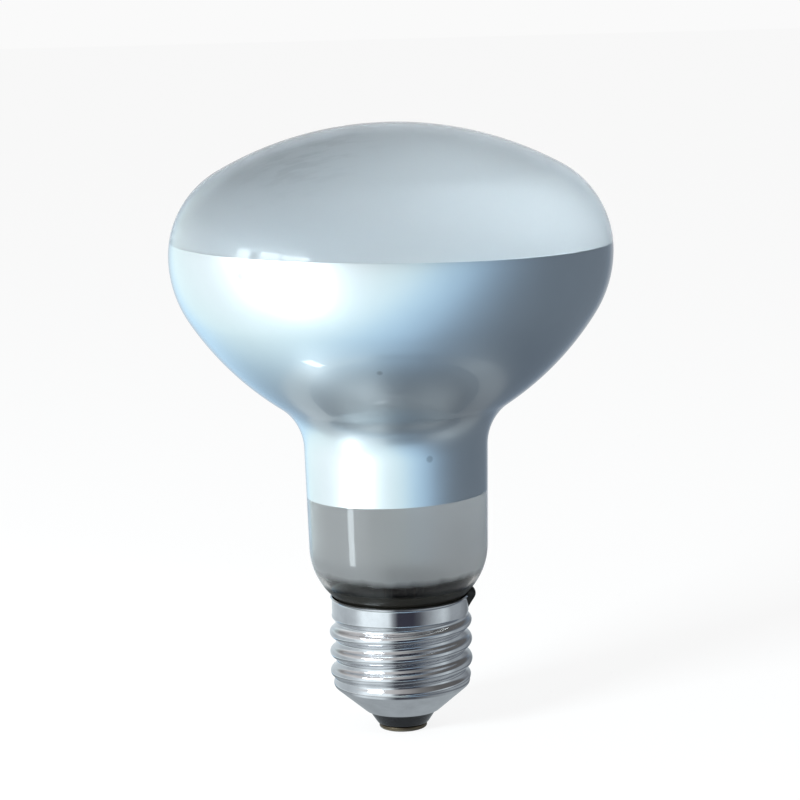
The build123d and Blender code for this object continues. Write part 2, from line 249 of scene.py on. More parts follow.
class Recipe:
    """The nodes of a material, or of the world, ending in one shader."""

    def __init__(self, name, world=False):
        self.owner = (bpy.data.worlds if world else bpy.data.materials).new(name)
        self.owner.use_nodes = True
        self.tree = self.owner.node_tree
        self.tree.nodes.clear()
        self.output = self.tree.nodes.new("ShaderNodeOutputWorld" if world else "ShaderNodeOutputMaterial")

    def node(self, kind, settings=None, inputs=None):
        """Add a node: first its settings, then the values or links of its sockets."""
        node = self.tree.nodes.new(kind)
        for key, value in (settings or {}).items():
            if key == "stops":
                self.set_stops(node.color_ramp, value)
            else:
                setattr(node, key, value)
        for key, value in (inputs or {}).items():
            self.feed(node.inputs[key], value)
        return node

    def set_stops(self, ramp, stops):
        while len(ramp.elements) < len(stops):
            ramp.elements.new(0.5)
        for element, (place, level) in zip(ramp.elements, stops):
            element.position = place
            element.color = (*level, 1) if isinstance(level, tuple) else (level, level, level, 1)

    def feed(self, socket, value):
        if isinstance(value, Reading):
            self.tree.links.new(value.socket, socket)
        elif isinstance(value, bpy.types.NodeSocket):
            self.tree.links.new(value, socket)
        elif socket.type == "RGBA" and len(value) == 3:
            socket.default_value = (*value, 1)
        else:
            socket.default_value = value

    def place(self):
        """Object coordinates, in metres of the lamp's own frame."""
        return self.node("ShaderNodeTexCoord").outputs["Object"]

    def axes(self):
        """The three Object coordinates as numbers."""
        split = self.node("ShaderNodeSeparateXYZ", inputs={0: self.place()})
        return [Reading(self, output) for output in split.outputs]

    def stretched(self, x, y, z):
        """Object coordinates with each axis scaled."""
        node = self.node("ShaderNodeMapping", inputs={"Vector": self.place(), "Scale": (x, y, z)})
        return node.outputs[0]

    def noise(self, scale, detail, roughness=0.55, vector=None):
        """Cloudy noise between 0 and 1. The scale is in cells to the metre."""
        inputs = {"Vector": vector or self.place(), "Scale": scale, "Detail": detail, "Roughness": roughness}
        return Reading(self, self.node("ShaderNodeTexNoise", inputs=inputs).outputs["Fac"])

    def ripple(self, scale, detail, spread):
        """Noise round 0, as wide from top to bottom as the spread."""
        return (self.noise(scale, detail) - 0.5) * spread

    def ramp(self, factor, *stops):
        """A level, or a colour, along the factor."""
        node = self.node("ShaderNodeValToRGB", {"stops": stops}, {"Fac": factor})
        return Reading(self, node.outputs["Color"])

    def mixed(self, factor, first, second):
        """One colour passing into another."""
        node = self.node("ShaderNodeMix", {"data_type": "RGBA"}, {0: factor, 6: first, 7: second})
        return Reading(self, node.outputs[2])

    def bump(self, height, distance, strength):
        """A normal that follows small heights, whose distance is in metres."""
        inputs = {"Height": height, "Distance": distance, "Strength": strength}
        return self.node("ShaderNodeBump", inputs=inputs).outputs[0]

    def shader(self, **sockets):
        """A Principled shader. Words of a socket's name are joined by underscores."""
        inputs = {key.replace("_", " "): value for key, value in sockets.items()}
        return self.node("ShaderNodeBsdfPrincipled", inputs=inputs).outputs[0]

    def principled(self, **sockets):
        """End in a Principled shader."""
        return self.ending(self.shader(**sockets))

    def blended(self, factor, first, second):
        """One shader passing into another."""
        return self.node("ShaderNodeMixShader", inputs={0: factor, 1: first, 2: second}).outputs[0]

    def glowing(self, colour, strength):
        """A shader that gives light."""
        return self.node("ShaderNodeEmission", inputs={"Color": colour, "Strength": strength}).outputs[0]

    def ending(self, shader):
        self.tree.links.new(shader, self.output.inputs["Surface"])
        return self.owner

    def facing(self, direction, way):
        """Dot product of a direction with a fixed way."""
        node = self.node("ShaderNodeVectorMath", {"operation": "DOT_PRODUCT"}, {0: direction, 1: way})
        return Reading(self, node.outputs["Value"])

    def turned(self, x, y):
        """Turn of a place round the axis, from the camera's side (-Y) towards the left (-X), in radians."""
        across = x * -1.0
        return across.combine("ARCTAN2", across, y * -1.0)

    def seen_rays(self):
        """1 for camera, glossy and transmission rays, else 0."""
        path = self.node("ShaderNodeLightPath")
        kinds = ("Is Camera Ray", "Is Glossy Ray", "Is Transmission Ray")
        camera, glossy, passed = (Reading(self, path.outputs[kind]) for kind in kinds)
        return (camera + glossy + passed).at_most(1.0)


def finishes():
    return bpy.context.scene.lamp_finishes


def dimmed(colour, part):
    """A colour with each of its three levels multiplied by the same number."""
    return tuple(part * level for level in colour)


# The bulb's smooth outer face, which the coat of its materials stands for.
SMOOTH_FACE = {"Coat_Roughness": 0.012, "Coat_IOR": 1.5}
BULB_GLASS_IOR = 1.45
# Specular level of the clear glass, low so that its inner faces don't mirror the stage.
CLEAR_GLASS_SPECULAR = 0.02


def silvered_glass():
    """Mirror film behind frosted glass: satin metal with a few faint specks, under a smooth outer face."""
    look, recipe = finishes(), Recipe("silvered_glass")
    cloud = recipe.ramp(recipe.noise(45, 4), (0.35, 0.0), (0.7, 1.0))
    film = recipe.mixed(cloud, look.silver, dimmed(look.silver, 0.93))
    cells = recipe.node("ShaderNodeTexVoronoi", inputs={"Vector": recipe.place(), "Scale": 160.0})
    specks = Reading(recipe, cells.outputs["Distance"]).rising(0.12, -0.05)
    specks = specks * recipe.ramp(recipe.noise(60, 2), (0.55, 0.0), (0.6, 1.0))
    return recipe.principled(
        Base_Color=recipe.mixed(specks * 0.35, film, (0.1, 0.1, 0.1)),
        Metallic=1.0,
        Roughness=look.silver_roughness + recipe.ripple(2600, 2, 0.06),
        Coat_Weight=1.0,
        **SMOOTH_FACE,
    )


def frosting(recipe, colour, passed, coat):
    """Shader of glass that is etched on one side, under a smooth outer face that the coat stands for.

    The share of the light that isn't passed is scattered back.
    """
    return recipe.shader(
        Base_Color=colour,
        Roughness=finishes().frost_roughness + recipe.ripple(1900, 3, 0.08),
        IOR=BULB_GLASS_IOR,
        Specular_IOR_Level=0.1,
        Transmission_Weight=passed,
        Coat_Weight=coat,
        **SMOOTH_FACE,
    )


def crown_outside():
    """Smooth outer face of the crown over the etching, with faint smears of handling at its upper left.

    The smears are a streaky noise that fades from the middle of an ellipse to its edge.
    """
    look, recipe = finishes(), Recipe("crown_outside")
    x, y, _ = recipe.axes()
    along, deep = (x + 0.014) / 0.015, (y + 0.017) / 0.016
    reach = (along * along + deep * deep) ** 0.5
    streak = recipe.noise(1.0, 5, vector=recipe.stretched(150, 420, 420))
    smear = reach.rising(1.0, -1.0) * recipe.ramp(streak, (0.48, 0.0), (0.62, 1.0))
    colour = recipe.mixed(smear, look.frost, dimmed(look.frost, 0.76))
    return recipe.ending(frosting(recipe, colour, look.crown_passed, 1.0))


def crown_inside():
    """Etched inner side of the crown, which also spreads light evenly through its whole face."""
    look, recipe = finishes(), Recipe("crown_inside")
    spread = recipe.node("ShaderNodeBsdfTranslucent", inputs={"Color": look.frost_spread})
    part = look.spread_share + recipe.ripple(38, 3, 0.1)
    etched = frosting(recipe, look.frost, 1.0, 0.0)
    return recipe.ending(recipe.blended(part, etched, spread.outputs[0]))


def neck_glass(name, bulb, coat):
    """Frosted glass of the neck, whose etching thins out to clear glass towards the cap.

    Both glasses are darkened as painted shade. A dark film of the cement's colour covers the foot.
    """
    look, recipe = finishes(), Recipe(name)
    height = recipe.axes()[2]
    wander = recipe.ripple(140, 3, 0.0025)
    # The neck's frosting colour is painted shade: dark grey for the neck's dark inside.
    etched = frosting(recipe, look.neck_frost_painted_shade, look.neck_passed, coat)
    # The clear glass is greyed as painted shade near the cap.
    clear = recipe.shader(
        Base_Color=look.neck_clear_painted_shade,
        Roughness=0.02 + recipe.ripple(300, 2, 0.02),
        IOR=BULB_GLASS_IOR,
        Specular_IOR_Level=CLEAR_GLASS_SPECULAR,
        Transmission_Weight=1.0,
    )
    film = recipe.shader(
        Base_Color=look.cement,
        Roughness=0.45 + recipe.ripple(700, 3, 0.2),
        Specular_IOR_Level=0.1,
        Coat_Weight=0.1 * coat,
    )
    glass = recipe.blended((height + wander).rising(bulb.frost_end, 0.0016), clear, etched)
    covered = (height - wander * 0.3).rising(bulb.cement_end, -0.0007)
    return recipe.ending(recipe.blended(covered, glass, film))


def mirror_back():
    """Mirror film as the inside of the bulb sees it."""
    look, recipe = finishes(), Recipe("mirror_back")
    cloud = recipe.noise(45, 4)
    return recipe.principled(
        Base_Color=look.silver,
        Metallic=1.0,
        Roughness=look.silver_roughness + (cloud - 0.5) * 0.05,
    )


def cap_nickel():
    """Bright plating with fine turning marks and dulled clouds."""
    look, recipe = finishes(), Recipe("cap_nickel")
    marks = recipe.noise(900, 3, 0.6, recipe.stretched(0.05, 0.05, 1.0))
    cloud = recipe.noise(240, 4)
    worn = recipe.ramp(cloud, (0.4, 0.0), (0.75, 1.0))
    return recipe.principled(
        Base_Color=recipe.mixed(worn, look.nickel, dimmed(look.nickel, 0.82)),
        Metallic=1.0,
        Roughness=look.nickel_roughness + (cloud - 0.5) * 0.08 + (marks - 0.5) * 0.04,
        Normal=recipe.bump(marks, 0.00001, 0.12),
    )


def plain_metal(name, colour, roughness, grain_scale, spread):
    """Metal whose colour and gloss vary a little in clouds of the given scale."""
    recipe = Recipe(name)
    cloud = recipe.noise(grain_scale, 4)
    return recipe.principled(
        Base_Color=recipe.mixed(cloud, colour, dimmed(colour, 0.7)),
        Metallic=1.0,
        Roughness=roughness + (cloud - 0.5) * spread,
        Normal=recipe.bump(cloud, 0.00003, 0.5),
    )


def black_glass():
    """Glossy black glass, cast with a faint waviness."""
    look, recipe = finishes(), Recipe("black_glass")
    wave = recipe.noise(420, 3)
    return recipe.principled(
        Base_Color=look.black_glass,
        Roughness=0.16 + (wave - 0.5) * 0.1,
        Specular_IOR_Level=0.25,
        Coat_Weight=0.25,
        Coat_Roughness=0.05,
        Normal=recipe.bump(wave, 0.00005, 0.6),
    )


def dark_cement():
    """Baked capping cement, matt and gritty."""
    look, recipe = finishes(), Recipe("dark_cement")
    grit = recipe.noise(2200, 5)
    return recipe.principled(
        Base_Color=recipe.mixed(grit, look.cement, dimmed(look.cement, 2.4)),
        Roughness=0.8 + (grit - 0.5) * 0.2,
        Normal=recipe.bump(grit, 0.0001, 0.7),
    )


def stem_glass():
    """Clear glass of the stem, a little wavy where it was pressed."""
    look, recipe = finishes(), Recipe("stem_glass")
    wave = recipe.noise(300, 2)
    return recipe.principled(
        Base_Color=look.stem_glass,
        Roughness=0.03 + (wave - 0.5) * 0.03,
        IOR=1.5,
        Specular_IOR_Level=CLEAR_GLASS_SPECULAR,
        Transmission_Weight=1.0,
        Normal=recipe.bump(wave, 0.00008, 0.5),
    )


def pale_floor(white_share):
    """Matt white floor. Camera, glossy and transmission rays see the given share of plain white in it."""
    recipe, white = Recipe("pale_floor"), (1.0, 1.0, 1.0)
    colour = recipe.mixed(recipe.noise(60, 3), white, dimmed(white, 0.985))
    matt = recipe.node("ShaderNodeBsdfDiffuse", inputs={"Color": colour})
    factor = recipe.seen_rays() * white_share
    return recipe.ending(recipe.blended(factor, matt.outputs[0], recipe.glowing(white, 1.0)))


class Outline:
    """Radius and height along tangent arcs and straight runs, as functions of the length travelled."""

    def __init__(self, radius, height, heading):
        self.radius = [np.array([radius])]
        self.height = [np.array([height])]
        self.heading = heading

    def arc(self, radius, angle, samples=160):
        """Turn by an angle along an arc. A positive radius curves inwards, a negative one outwards.

        With the heading h measured from outwards towards down, a point moves by
        radius times (sin h - sin start, cos h - cos start).
        """
        headings = self.heading + np.copysign(angle, radius) * np.linspace(0, 1, samples + 1)[1:]
        start_r, start_z = self.radius[-1][-1], self.height[-1][-1]
        self.radius.append(start_r + radius * (np.sin(headings) - sin(self.heading)))
        self.height.append(start_z + radius * (np.cos(headings) - cos(self.heading)))
        self.heading = headings[-1]
        return self

    def straight(self, length, samples=40):
        """Go straight on along the present heading."""
        steps = length * np.linspace(0, 1, samples + 1)[1:]
        start_r, start_z = self.radius[-1][-1], self.height[-1][-1]
        self.radius.append(start_r + steps * cos(self.heading))
        self.height.append(start_z - steps * sin(self.heading))
        return self

    def towards(self, radius, height, samples=40):
        """Go straight to a point, with a corner if it doesn't lie ahead."""
        start_r, start_z = self.radius[-1][-1], self.height[-1][-1]
        steps = np.linspace(0, 1, samples + 1)[1:]
        self.radius.append(start_r + (radius - start_r) * steps)
        self.height.append(start_z + (height - start_z) * steps)
        self.heading = atan2(start_z - height, radius - start_r)
        return self

    def line(self):
        """All radii and heights as two arrays."""
        return np.concatenate(self.radius), np.concatenate(self.height)


def travelled(radius, height):
    """Length along an outline up to each of its points."""
    return np.concatenate([[0.0], np.cumsum(np.hypot(np.diff(radius), np.diff(height)))])


def lathe(name, radius, height, angles, bands=None):
    """Closed surface of revolution from rows of radius and height.

    Row i, column j lies at (r cos a, r sin a, z) with r, z from row i and a from column j, and rows may
    differ from column to column. A first or last row of radius 0 becomes one pole point. Rows that run
    down outside and up inside have their faces outwards. Bands give each strip of faces its material.
    """
    rows = radius.shape[0]
    columns = len(angles)
    radius = np.broadcast_to(radius.reshape(rows, -1), (rows, columns))
    height = np.broadcast_to(height.reshape(rows, -1), (rows, columns))
    points = np.stack([radius * np.cos(angles), radius * np.sin(angles), height], axis=-1)
    top_pole, foot_pole = np.all(radius[0] < 1e-9), np.all(radius[-1] < 1e-9)
    index = np.arange(rows * columns).reshape(rows, columns)
    if top_pole:
        index[0] = index[0, 0]
    if foot_pole:
        index[-1] = index[-1, 0]
    upper, lower = index, np.roll(index, -1, axis=0)
    if top_pole:
        upper, lower = index[:-1], index[1:]
    quads = np.stack([upper, lower, np.roll(lower, -1, axis=1), np.roll(upper, -1, axis=1)], axis=-1)
    quads = quads.reshape(-1, 4)
    strips = np.repeat(np.arange(upper.shape[0]), columns)
    return surface(name, points.reshape(-1, 3), quads, bands[strips] if bands is not None else None)


def linked(name, data):
    """New object of the scene, at the origin."""
    new = bpy.data.objects.new(name, data)
    bpy.context.scene.collection.objects.link(new)
    return new


def surface(name, points, quads, bands=None):
    """Mesh object from quads. Unused points go, and quads with a doubled corner become triangles."""
    used, compact = np.unique(quads, return_inverse=True)
    quads = compact.reshape(-1, 4)
    faces = [list(dict.fromkeys(quad)) for quad in quads.tolist()]
    mesh = bpy.data.meshes.new(name)
    mesh.from_pydata(points[used].tolist(), [], faces)
    mesh.update()
    if bands is not None:
        mesh.polygons.foreach_set("material_index", bands.astype(np.int32))
    mesh.polygons.foreach_set("use_smooth", np.ones(len(faces), dtype=bool))
    mesh.set_sharp_from_angle(angle=radians(38))
    return linked(name, mesh)


def dressed(piece, slot, materials, *nodes):
    """Give a piece its materials and tie it to the frame in place of CAD nodes."""
    for material in materials:
        piece.data.materials.append(material)
    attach(piece, "root")
    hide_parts(*nodes)


def round_angles(segments):
    """Evenly spaced angles round the axis."""
    return np.arange(segments) * 2 * pi / segments


def bulb_outline(bulb, cap, inset):
    """Outline of the glass at a depth below its outer surface, from the crown to the seal."""
    crown = asin((bulb.bulb_radius - bulb.crown_edge_radius) / (bulb.crown_radius - bulb.crown_edge_radius))
    bowl, neck = pi / 2 + bulb.upper_bowl_turn, pi / 2 + bulb.neck_taper
    throat_sine = (
        bulb.neck_radius - bulb.bulb_radius + bulb.upper_bowl_radius * (1 - sin(bowl))
        + bulb.lower_bowl_radius * sin(bowl) + bulb.throat_radius * sin(neck)
    ) / (bulb.lower_bowl_radius + bulb.throat_radius)
    throat = pi - asin(throat_sine)
    neck_top = (
        bulb.overall_length + bulb.crown_radius * (cos(crown) - 1) - bulb.crown_edge_radius * cos(crown)
        + bulb.upper_bowl_radius * cos(bowl) + bulb.lower_bowl_radius * (cos(throat) - cos(bowl))
        - bulb.throat_radius * (cos(neck) - cos(throat))
    )
    mouth = cap.thread_mean_radius - cap.wall - bulb.neck_gap
    drop = neck_top - cap.height
    offset = (bulb.neck_radius - mouth) * sin(neck) + drop * cos(neck)
    along = (mouth - bulb.neck_radius) * cos(neck) + drop * sin(neck)
    shoulder = acos(1 - offset / bulb.neck_shoulder_radius)
    tuck = shoulder + bulb.neck_taper
    outline = Outline(0.0, bulb.overall_length - inset, 0.0)
    outline.arc(bulb.crown_radius - inset, crown)
    outline.arc(bulb.crown_edge_radius - inset, pi / 2 - crown)
    outline.arc(bulb.upper_bowl_radius - inset, bulb.upper_bowl_turn)
    outline.arc(bulb.lower_bowl_radius - inset, throat - bowl)
    outline.arc(-bulb.throat_radius - inset, throat - neck)
    outline.straight(along - bulb.neck_shoulder_radius * sin(shoulder))
    outline.arc(bulb.neck_shoulder_radius - inset, shoulder)
    outline.arc(-bulb.tuck_radius - inset, tuck)
    outline.towards(outline.radius[-1][-1], bulb.seal_height)
    return outline.line()


def banded_rows(radius, height, angles, levels, counts):
    """Rows along an outline whose given levels are tilted planes.

    Each level is a height on the axis and a rise towards +X. The length at which the outline meets the
    plane is found for every angle, and between levels the rows are spread evenly in length.
    """
    length = travelled(radius, height)
    marks = [np.zeros(len(angles))]
    for middle, slope in levels:
        level = np.full(len(angles), middle)
        for _ in range(4):
            here = np.interp(-level, -height, length)
            level = middle + slope * np.interp(here, length, radius) * np.cos(angles)
        marks.append(np.interp(-level, -height, length))
    marks.append(np.full(len(angles), length[-1]))
    strips = []
    for start, end, rows in zip(marks[:-1], marks[1:], counts):
        steps = np.arange(rows)[:, None] / rows
        strips.append(start + (end - start) * steps)
    spread = np.concatenate([*strips, marks[-1][None, :]])
    return np.interp(spread, length, radius), np.interp(spread, length, height)


class LAMP_OT_bulb_glass(Operator):
    """Blow the bulb: a closed glass wall, silvered, frosted and clear in bands."""

    bl_idname = "lamp.bulb_glass"
    bl_label = "Bulb glass"

    def execute(self, context):
        bulb, cap = context.scene.lamp_bulb, context.scene.lamp_cap
        angles = round_angles(bulb.segments)
        near_cap = cap.height + 6 * MM
        levels = [
            (bulb.film_top, -bulb.film_top_slope),
            (bulb.film_bottom, bulb.film_bottom_slope),
            (near_cap, 0.0),
        ]
        rows = [56, 84, 24, 40]
        outer = banded_rows(*bulb_outline(bulb, cap, 0.0), angles, levels, rows)
        inner = banded_rows(*bulb_outline(bulb, cap, bulb.wall), angles, levels, rows)
        radius = np.concatenate([outer[0], inner[0][::-1]])
        height = np.concatenate([outer[1], inner[1][::-1]])
        one_side = np.repeat([0, 1, 2, 2], rows)
        bands = np.concatenate([one_side, [2], one_side[::-1] + 3])
        piece = lathe("bulb_glass", radius, height, angles, bands)
        outside = [crown_outside(), silvered_glass(), neck_glass("neck_outside", bulb, 1.0)]
        inside = [crown_inside(), mirror_back(), neck_glass("neck_inside", bulb, 0.0)]
        dressed(piece, "bulb_glass", outside + inside, "glass_envelope", "mirror_coating")
        return {"FINISHED"}


def thread_offset(cap, angle, height):
    """Distance of the thread's surface from its mean radius.

    Crests and roots are equal arcs of the thread's arc radius R that meet halfway. At an axial distance t
    from the middle of its crest or root, the surface stands sqrt(R^2 - t^2) - R cos(f) from the mean, where
    sin(f) is a quarter of the pitch over R. The crest climbs one pitch a turn, against the clock from above.
    """
    pitch, arc = cap.thread_pitch, cap.thread_arc_radius
    phase = (height - cap.thread_crest_left) / pitch - (angle - pi) / (2 * pi)
    phase = phase - np.round(phase)
    on_crest = np.abs(phase) <= 0.25
    from_middle = np.where(on_crest, np.abs(phase), 0.5 - np.abs(phase)) * pitch
    bow = np.sqrt(arc ** 2 - from_middle ** 2) - arc * cos(asin(pitch / 4 / arc))
    into = np.minimum(height - cap.thread_bottom, cap.thread_top - height) / cap.thread_runout
    into = np.clip(into, 0, 1)
    return np.where(on_crest, bow, -bow) * into * into * (3 - 2 * into)


def cap_outline(cap, inset):
    """Outline of the cap without its thread, at a depth inside the sheet, from the rim to the cone's edge."""
    curl_drop = (cap.curl_radius + inset) * sin(cap.curl_turn)
    skirt_top = cap.height - cap.curl_radius * sin(cap.curl_turn)
    mean = cap.thread_mean_radius
    start_r = mean - inset + (cap.curl_radius + inset) * (1 - cos(cap.curl_turn))
    across, drop = mean - cap.cone_bend_radius - cap.cone_end_radius, cap.thread_bottom - cap.cone_end_height
    lean = asin(cap.cone_bend_radius / hypot(across, drop))
    outline = Outline(start_r, skirt_top + curl_drop, pi / 2 + cap.curl_turn)
    outline.arc(-cap.curl_radius - inset, cap.curl_turn, 24)
    outline.straight(skirt_top - cap.thread_bottom, 400)
    outline.arc(cap.cone_bend_radius - inset, atan2(across, drop) + lean, 30)
    outline.straight(hypot(across, drop) * cos(lean), 30)
    return outline.line()


class LAMP_OT_cap_shell(Operator):
    """Roll the cap: curled rim, plain skirt, one-start thread and cone in one sheet."""

    bl_idname = "lamp.cap_shell"
    bl_label = "Cap shell"

    def execute(self, context):
        cap = context.scene.lamp_cap
        angles = round_angles(cap.segments)
        sides = []
        for inset, rows in ((0.0, 300), (cap.wall, 150)):
            radius, height = cap_outline(cap, inset)
            length = travelled(radius, height)
            spread = np.linspace(0, length[-1], rows)
            radius = np.interp(spread, length, radius)[:, None]
            height = np.interp(spread, length, height)[:, None]
            radius = radius + thread_offset(cap, angles[None, :], height)
            sides.append((radius, np.broadcast_to(height, radius.shape)))
        radius = np.concatenate([sides[0][0], sides[1][0][::-1]])
        height = np.concatenate([sides[0][1], sides[1][1][::-1]])
        piece = lathe("cap_shell_rolled", radius, height, angles)
        dressed(piece, "cap_metal", [cap_nickel()], "cap_shell")
        return {"FINISHED"}


def turned_piece(name, corners, segments, rounding):
    """Piece turned from straight sides that meet in arcs of one rounding radius.

    Corners run down the outer side from the axis or the inner wall. Each inner corner is replaced by the
    curve (1-t)^2 a + 2t(1-t) b + t^2 c between points at the rounding distance on its two sides.
    """
    points = np.array(corners, dtype=float)
    rows = [points[:1]]
    steps = np.linspace(0, 1, 7)[:, None]
    for before, corner, after in zip(points[:-2], points[1:-1], points[2:]):
        reach_in = min(rounding, np.linalg.norm(corner - before) * 0.45)
        reach_out = min(rounding, np.linalg.norm(after - corner) * 0.45)
        start = corner + (before - corner) / np.linalg.norm(before - corner) * reach_in
        end = corner + (after - corner) / np.linalg.norm(after - corner) * reach_out
        rows.append((1 - steps) ** 2 * start + 2 * steps * (1 - steps) * corner + steps ** 2 * end)
    rows.append(points[-1:])
    line = np.concatenate(rows)
    return lathe(name, line[:, 0], line[:, 1], round_angles(segments))


class LAMP_OT_contact(Operator):
    """Cast the black glass under the cap, and set the contact plate and its solder."""

    bl_idname = "lamp.contact"
    bl_label = "Insulator and contact"

    def execute(self, context):
        cap, look = context.scene.lamp_cap, finishes()
        radius, height = cap_outline(cap, cap.wall)
        edge_radius, edge_height = radius[-1], height[-1]
        foot_radius = cap.contact_radius + cap.insulator_overhang
        core_top = cap.contact_top + 4 * MM
        core = [(cap.lead_hole_radius, core_top), (edge_radius, core_top), (edge_radius, edge_height)]
        shoulder = (cap.insulator_shoulder_radius, cap.insulator_shoulder_height)
        foot = [(foot_radius, cap.contact_top), (cap.lead_hole_radius, cap.contact_top)]
        insulator = turned_piece("insulator_cast", [*core, shoulder, *foot], 96, 0.35 * MM)
        dressed(insulator, "black_glass", [black_glass()], "contact_insulator")
        bottom, hole_radius = cap.contact_top - cap.contact_thickness, 0.8 * MM
        upper = [(hole_radius, cap.contact_top), (cap.contact_radius, cap.contact_top)]
        lower = [(cap.contact_radius, bottom), (hole_radius, bottom)]
        plate = turned_piece("contact_plate_pressed", upper + lower, 96, cap.contact_edge_radius)
        brass = plain_metal("contact_brass", look.brass, 0.42, 700, 0.2)
        dressed(plate, "contact_brass", [brass], "contact_plate")
        solder_back = bottom + 0.05 * MM
        base = [(0, solder_back), (cap.solder_foot_radius, solder_back)]
        tip = [(cap.solder_flat_radius, 0), (0, 0)]
        drop = turned_piece("contact_solder_drop", base + tip, 64, 0.3 * MM)
        tin = plain_metal("tin_solder", look.solder, 0.45, 1500, 0.3)
        dressed(drop, "solder", [tin], "contact_solder")
        return {"FINISHED"}


class LAMP_OT_side_solder(Operator):
    """Run the drop of solder over the rim, where the side lead ends.

    The drop is turned from an arc and a straight run. Its radius is multiplied by a number just under 1
    that two sines of angle and height make lumpy.
    """

    bl_idname = "lamp.side_solder"
    bl_label = "Side solder"

    def execute(self, context):
        cap, look = context.scene.lamp_cap, finishes()
        fall = cap.height - cap.side_solder_tip
        lean = asin(cap.side_solder_radius / fall)
        run = Outline(0.0, cap.height + cap.side_solder_radius, 0.0)
        run.arc(cap.side_solder_radius, pi / 2 + lean, 30)
        run.towards(0.0, cap.side_solder_tip, 24)
        radius, height = (line[:, None] for line in run.line())
        angles = round_angles(72)
        lumps = np.sin(3 * angles + 900 * height) + 0.7 * np.sin(5 * angles - 1700 * height + 1.0)
        radius = radius * (0.95 + 0.03 * lumps)
        piece = lathe("side_solder_run", radius, height, angles)
        piece.data.transform(Matrix.Translation((cap.thread_mean_radius, 0, 0)))
        tin = plain_metal("side_tin_solder", look.solder, 0.4, 1500, 0.3)
        dressed(piece, "solder", [tin], "side_solder")
        return {"FINISHED"}


def carried_tube(name, path, radius, sides):
    """Round tube along a path. Its section stays square to the path.

    Each point is path + radius (cos a * n + sin a * b), with n and b square to the path's direction and n
    kept from swinging by taking the part of a fixed axis that is square to it.
    """
    forward = np.gradient(path, axis=0)
    forward /= np.linalg.norm(forward, axis=1, keepdims=True)
    hint = np.broadcast_to(np.array([0.0, 0.0, 1.0]), forward.shape)
    normal = hint - forward * np.sum(hint * forward, axis=1, keepdims=True)
    normal /= np.linalg.norm(normal, axis=1, keepdims=True)
    side = np.cross(forward, normal)
    angles = round_angles(sides)[None, :, None]
    ring = np.cos(angles) * normal[:, None, :] + np.sin(angles) * side[:, None, :]
    rings = path[:, None, :] + radius * ring
    ends = np.stack([np.broadcast_to(path[end], (sides, 3)) for end in (0, -1)])
    rings = np.concatenate([ends[:1], rings, ends[1:]])
    rows = rings.shape[0]
    index = np.arange(rows * sides).reshape(rows, sides)
    index[0], index[-1] = index[0, 0], index[-1, 0]
    upper, lower = index[:-1], index[1:]
    quads = np.stack([upper, np.roll(upper, -1, axis=1), np.roll(lower, -1, axis=1), lower], axis=-1)
    return surface(name, rings.reshape(-1, 3), quads.reshape(-1, 4))


class LAMP_OT_filament(Operator):
    """Wind the tungsten filament: a coil whose axis runs round an open ring.

    At a twist t, the wire stands reach cos t out from the ring's radius and reach sin t over its height.
    """

    bl_idname = "lamp.filament"
    bl_label = "Filament"

    def execute(self, context):
        sizes, look = context.scene.lamp_filament, finishes()
        along = np.linspace(0, 1, sizes.turns * 14)
        ring = -pi / 2 + sizes.gap / 2 + along * (2 * pi - sizes.gap)
        twist = 2 * pi * sizes.turns * along
        reach = sizes.coil_radius - sizes.wire_radius
        radius = sizes.ring_radius + reach * np.cos(twist)
        height = sizes.height + reach * np.sin(twist)
        path = np.stack([radius * np.cos(ring), radius * np.sin(ring), height], axis=-1)
        piece = carried_tube("filament_wound", path, sizes.wire_radius, 6)
        metal = plain_metal("tungsten", look.tungsten, 0.5, 3000, 0.2)
        dressed(piece, "filament_metal", [metal], "filament_coil")
        return {"FINISHED"}


class LAMP_OT_inner_parts(Operator):
    """Finish the stem, the lead wires, the hooks and the cement, which keep their own shapes."""

    bl_idname = "lamp.inner_parts"
    bl_label = "Stem, wires and cement"

    def execute(self, context):
        look = finishes()
        glass, cement = stem_glass(), dark_cement()
        nickel = plain_metal("lead_nickel", look.wire_nickel, 0.35, 2500, 0.15)
        copper = plain_metal("lead_copper", look.copper, 0.4, 2500, 0.2)
        molybdenum = plain_metal("hook_molybdenum", look.tungsten, 0.45, 2500, 0.2)
        by_name = {
            "stem_flare": glass,
            "exhaust_tube": glass,
            "button_rod": glass,
            "cap_cement": cement,
            "inner_lead": nickel,
            "seal_wire": copper,
            "outer_lead": copper,
            "support_hook": molybdenum,
        }
        for name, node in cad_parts.items():
            for start, material in by_name.items():
                if name.startswith(start):
                    node.data.materials.clear()
                    node.data.materials.append(material)
        return {"FINISHED"}


# Level of what the cap mirrors, by the turn in degrees from the camera's side to the left: the wall of the
# collar round it, and the mat under it.
ROOM_ROUND_CAP = [
    (-180, 0.7), (-135, 0.15), (-104, 0.28), (-84, 0.3), (-68, 0.56), (-52, 0.4), (-38, 0.2), (-28, 0.06),
    (-18, 0.0), (4, 0.0), (11, 0.25), (18, 0.8), (30, 0.97), (57, 0.97), (72, 0.54), (92, 0.42), (180, 0.7),
]
ROOM_UNDER_CAP = [
    (-180, 0.35), (-70, 0.4), (-40, 0.26), (-15, 0.06), (8, 0.04),
    (20, 0.5), (29, 0.9), (57, 0.9), (80, 0.4), (180, 0.35),
]
# Window panes: first and last turn in degrees, lower and upper edge and distance from the axis in metres.
PANES = {
    "pane_left": (67, 75, 0.098, 0.124, 0.14),
    "pane_middle": (51, 61, 0.045, 0.124, 0.14),
    "pane_right": (36, 49, 0.015, 0.120, 0.14),
    "pane_low": (47, 54, 0.0240, 0.0395, 0.042),
}
# Lights: place, point aimed at, width and height, all in metres, and spread.
LIGHTS = {
    "window": ((-0.50, -0.50, 0.28), (0, 0, 0.07), 0.22, 0.16, pi),
    "side": ((0.56, -0.16, 0.26), (0, 0, 0.12), 0.16, 0.10, radians(16)),
}
